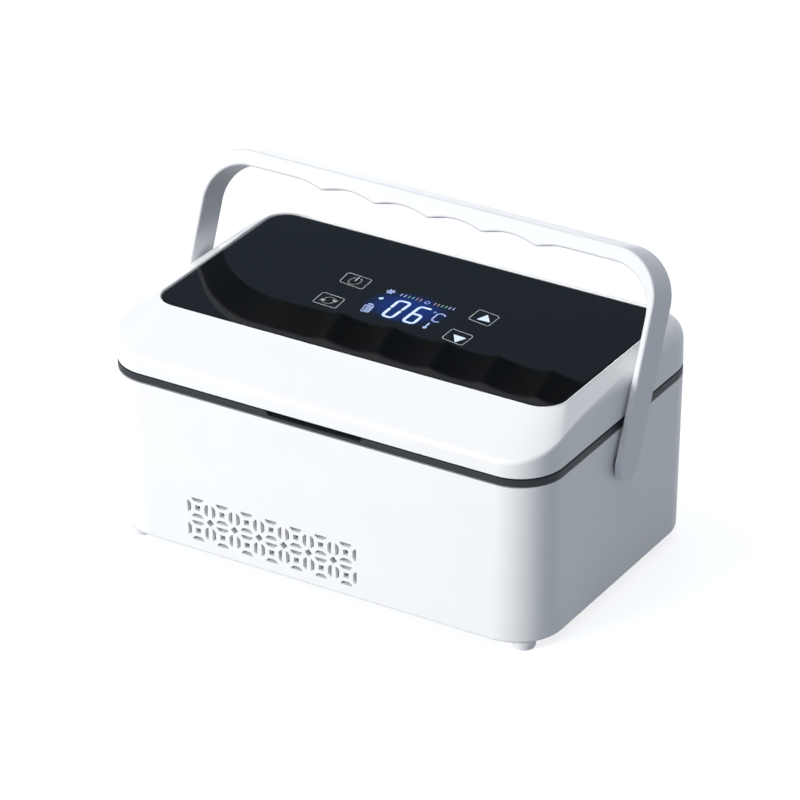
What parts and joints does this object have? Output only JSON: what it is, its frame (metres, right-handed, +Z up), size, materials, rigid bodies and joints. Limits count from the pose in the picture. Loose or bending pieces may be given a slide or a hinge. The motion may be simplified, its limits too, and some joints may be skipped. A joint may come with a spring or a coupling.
{
  "type": "insulin cooling case",
  "caption": "White thermoelectric insulin cooling case with a hinged sloping lid, a black glass touch panel and a swinging finger-grooved carrying handle",
  "frame": {"origin": "on the table under the middle of the case, at the height of the feet's undersides", "axes": "+X to the right along the front, +Y from the front to the hinged back, +Z up"},
  "size_m": [0.2604, 0.158, 0.1712],
  "materials": {
    "white_abs": "glossy moulded ABS",
    "dark_abs": "satin moulded ABS",
    "black_glass": "polished, back printed black",
    "grey_abs": "satin moulded ABS",
    "drawn_aluminium": "deep drawn, fine satin",
    "extruded_aluminium": "extruded, bare",
    "foam": "rigid polyurethane foam",
    "ceramic": "unglazed alumina",
    "black_plastic": "moulded, matt",
    "board_green": "solder resist on glass fibre board",
    "display_face": "backlit display",
    "rubber": "moulded, matt",
    "steel": "zinc plated",
    "cell_wrap": "shrink sleeve",
    "magnet_nickel": "nickel plated"
  },
  "bodies": {
    "base": {"base_shell": "white_abs", "bottom_cover": "white_abs", "foot_front_left": "white_abs", "foot_front_right": "white_abs", "foot_rear_left": "white_abs", "foot_rear_right": "white_abs", "foot_screw_front_left": "steel", "foot_screw_front_right": "steel", "foot_screw_rear_left": "steel", "foot_screw_rear_right": "steel", "chamber_liner": "drawn_aluminium", "insulation_block": "foam", "rim_frame": "dark_abs", "cold_block": "extruded_aluminium", "peltier_module": "ceramic", "heat_sink": "extruded_aluminium", "fan_frame": "black_plastic", "battery_tray": "black_plastic", "battery_cell_1": "cell_wrap", "battery_cell_2": "cell_wrap", "battery_cell_3": "cell_wrap", "battery_cell_4": "cell_wrap", "battery_cable": "rubber", "control_board": "board_green", "board_capacitor": "cell_wrap", "board_inductor": "black_plastic", "power_socket": "black_plastic", "temperature_sensor": "steel", "stack_screw_left": "steel", "stack_screw_right": "steel", "hinge_pin_left": "steel", "hinge_pin_right": "steel", "friction_washer_left": "rubber", "friction_washer_right": "rubber", "rim_magnet_left": "magnet_nickel", "rim_magnet_right": "magnet_nickel"},
    "fan": {"fan_rotor": "black_plastic"},
    "handle": {"handle_bail": "white_abs", "pivot_retainer_left": "steel", "pivot_retainer_right": "steel", "pivot_screw_left": "steel", "pivot_screw_right": "steel"},
    "lid": {"lid_shell": "white_abs", "lid_panel": "grey_abs", "lid_gasket": "rubber", "lid_insulation": "foam", "lid_screw_front_left": "steel", "lid_screw_front_right": "steel", "lid_screw_rear_left": "steel", "lid_screw_rear_right": "steel", "touch_board": "board_green", "display_module": "display_face", "touch_spring_power": "steel", "touch_spring_mode": "steel", "touch_spring_up": "steel", "touch_spring_down": "steel", "glass_panel": "black_glass", "lid_magnet_left": "magnet_nickel", "lid_magnet_right": "magnet_nickel"}
  },
  "joints": [
    {"name": "handle_swing", "type": "hinge", "parent": "base", "child": "handle", "pos_m": [0, 0, 0.0737], "axis": [1, 0, 0], "range_deg": [-87, 133]},
    {"name": "lid_hinge", "type": "hinge", "parent": "base", "child": "lid", "pos_m": [0, 0.0756, 0.0959], "axis": [-1, 0, 0], "range_deg": [0, 30]},
    {"name": "fan_spin", "type": "hinge", "parent": "base", "child": "fan", "pos_m": [-0.0265, 0, 0.0136], "axis": [0, 0, 1], "continuous": true}
  ]
}
